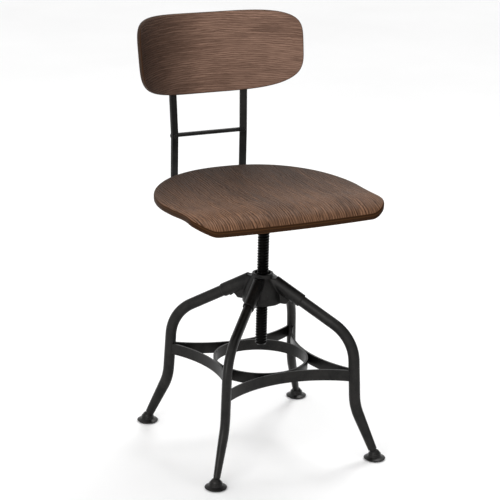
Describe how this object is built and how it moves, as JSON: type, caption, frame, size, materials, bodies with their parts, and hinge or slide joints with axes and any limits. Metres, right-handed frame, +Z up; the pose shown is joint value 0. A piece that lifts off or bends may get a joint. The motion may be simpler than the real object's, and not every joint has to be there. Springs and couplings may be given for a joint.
{
  "type": "adjustable swivel stool",
  "caption": "Industrial swivel stool: contoured plywood seat and curved back on a screw post, with four bent legs, a ring footrest and swivelling feet.",
  "frame": {"origin": "the middle of the object's box at floor level; the screw's axis stands 66.9 mm in front of it, towards -Y", "axes": "+Z up, along the screw's axis; the seat's front faces -Y at rest; +X is the seated person's left"},
  "size_m": [0.447, 0.5474, 0.8803],
  "materials": {
    "wood": "satin",
    "frame_metal": "satin",
    "cast_metal": "satin",
    "screw_steel": "satin",
    "fastener_steel": "satin",
    "rubber": "matte"
  },
  "bodies": {
    "base": {"hub": "cast_metal", "spindle_nut": "cast_metal", "leg_pins": "fastener_steel", "footrest_ring": "frame_metal", "leg_front_left": "frame_metal", "leg_front_right": "frame_metal", "leg_rear_right": "frame_metal", "leg_rear_left": "frame_metal", "footrest_arc_front": "frame_metal", "footrest_arc_right": "frame_metal", "footrest_arc_rear": "frame_metal", "footrest_arc_left": "frame_metal", "foot_stud_front_left": "screw_steel", "foot_stud_front_right": "screw_steel", "foot_stud_rear_right": "screw_steel", "foot_stud_rear_left": "screw_steel"},
    "lift": {"buffer_ring": "rubber"},
    "seat": {"seat_board": "wood", "back_board": "wood", "upright_left": "frame_metal", "upright_right": "frame_metal", "crossbar": "frame_metal", "crossbar_rivets": "frame_metal", "back_screws": "fastener_steel", "seat_flange": "cast_metal", "seat_screws": "fastener_steel", "seat_spacers": "fastener_steel", "bar_bolts": "fastener_steel", "spindle": "screw_steel"},
    "foot_front_left": {"foot_disc_front_left": "frame_metal", "foot_pad_front_left": "rubber"},
    "foot_front_right": {"foot_disc_front_right": "frame_metal", "foot_pad_front_right": "rubber"},
    "foot_rear_right": {"foot_disc_rear_right": "frame_metal", "foot_pad_rear_right": "rubber"},
    "foot_rear_left": {"foot_disc_rear_left": "frame_metal", "foot_pad_rear_left": "rubber"}
  },
  "joints": [
    {"name": "lift_slide", "type": "slide", "parent": "base", "child": "lift", "axis": [0, 0, 1], "range_m": [-0.0961, 0.0541]},
    {"name": "seat_turn", "type": "hinge", "parent": "lift", "child": "seat", "pos_m": [0, -0.06686, 0], "axis": [0, 0, 1], "range_deg": [-5760, 3240]},
    {"name": "foot_tilt_front_left", "type": "hinge", "parent": "base", "child": "foot_front_left", "pos_m": [-0.18406, -0.25092, 0.0105], "axis": [0.7071, -0.7071, 0], "range_deg": [-8, 8]},
    {"name": "foot_tilt_front_right", "type": "hinge", "parent": "base", "child": "foot_front_right", "pos_m": [0.18406, -0.25092, 0.0105], "axis": [0.7071, 0.7071, 0], "range_deg": [-8, 8]},
    {"name": "foot_tilt_rear_right", "type": "hinge", "parent": "base", "child": "foot_rear_right", "pos_m": [0.18406, 0.1172, 0.0105], "axis": [-0.7071, 0.7071, 0], "range_deg": [-8, 8]},
    {"name": "foot_tilt_rear_left", "type": "hinge", "parent": "base", "child": "foot_rear_left", "pos_m": [-0.18406, 0.1172, 0.0105], "axis": [-0.7071, -0.7071, 0], "range_deg": [-8, 8]}
  ],
  "couplings": [
    {"joint": "lift_slide", "follows": "seat_turn", "m_per_rad": 0.00095493}
  ]
}
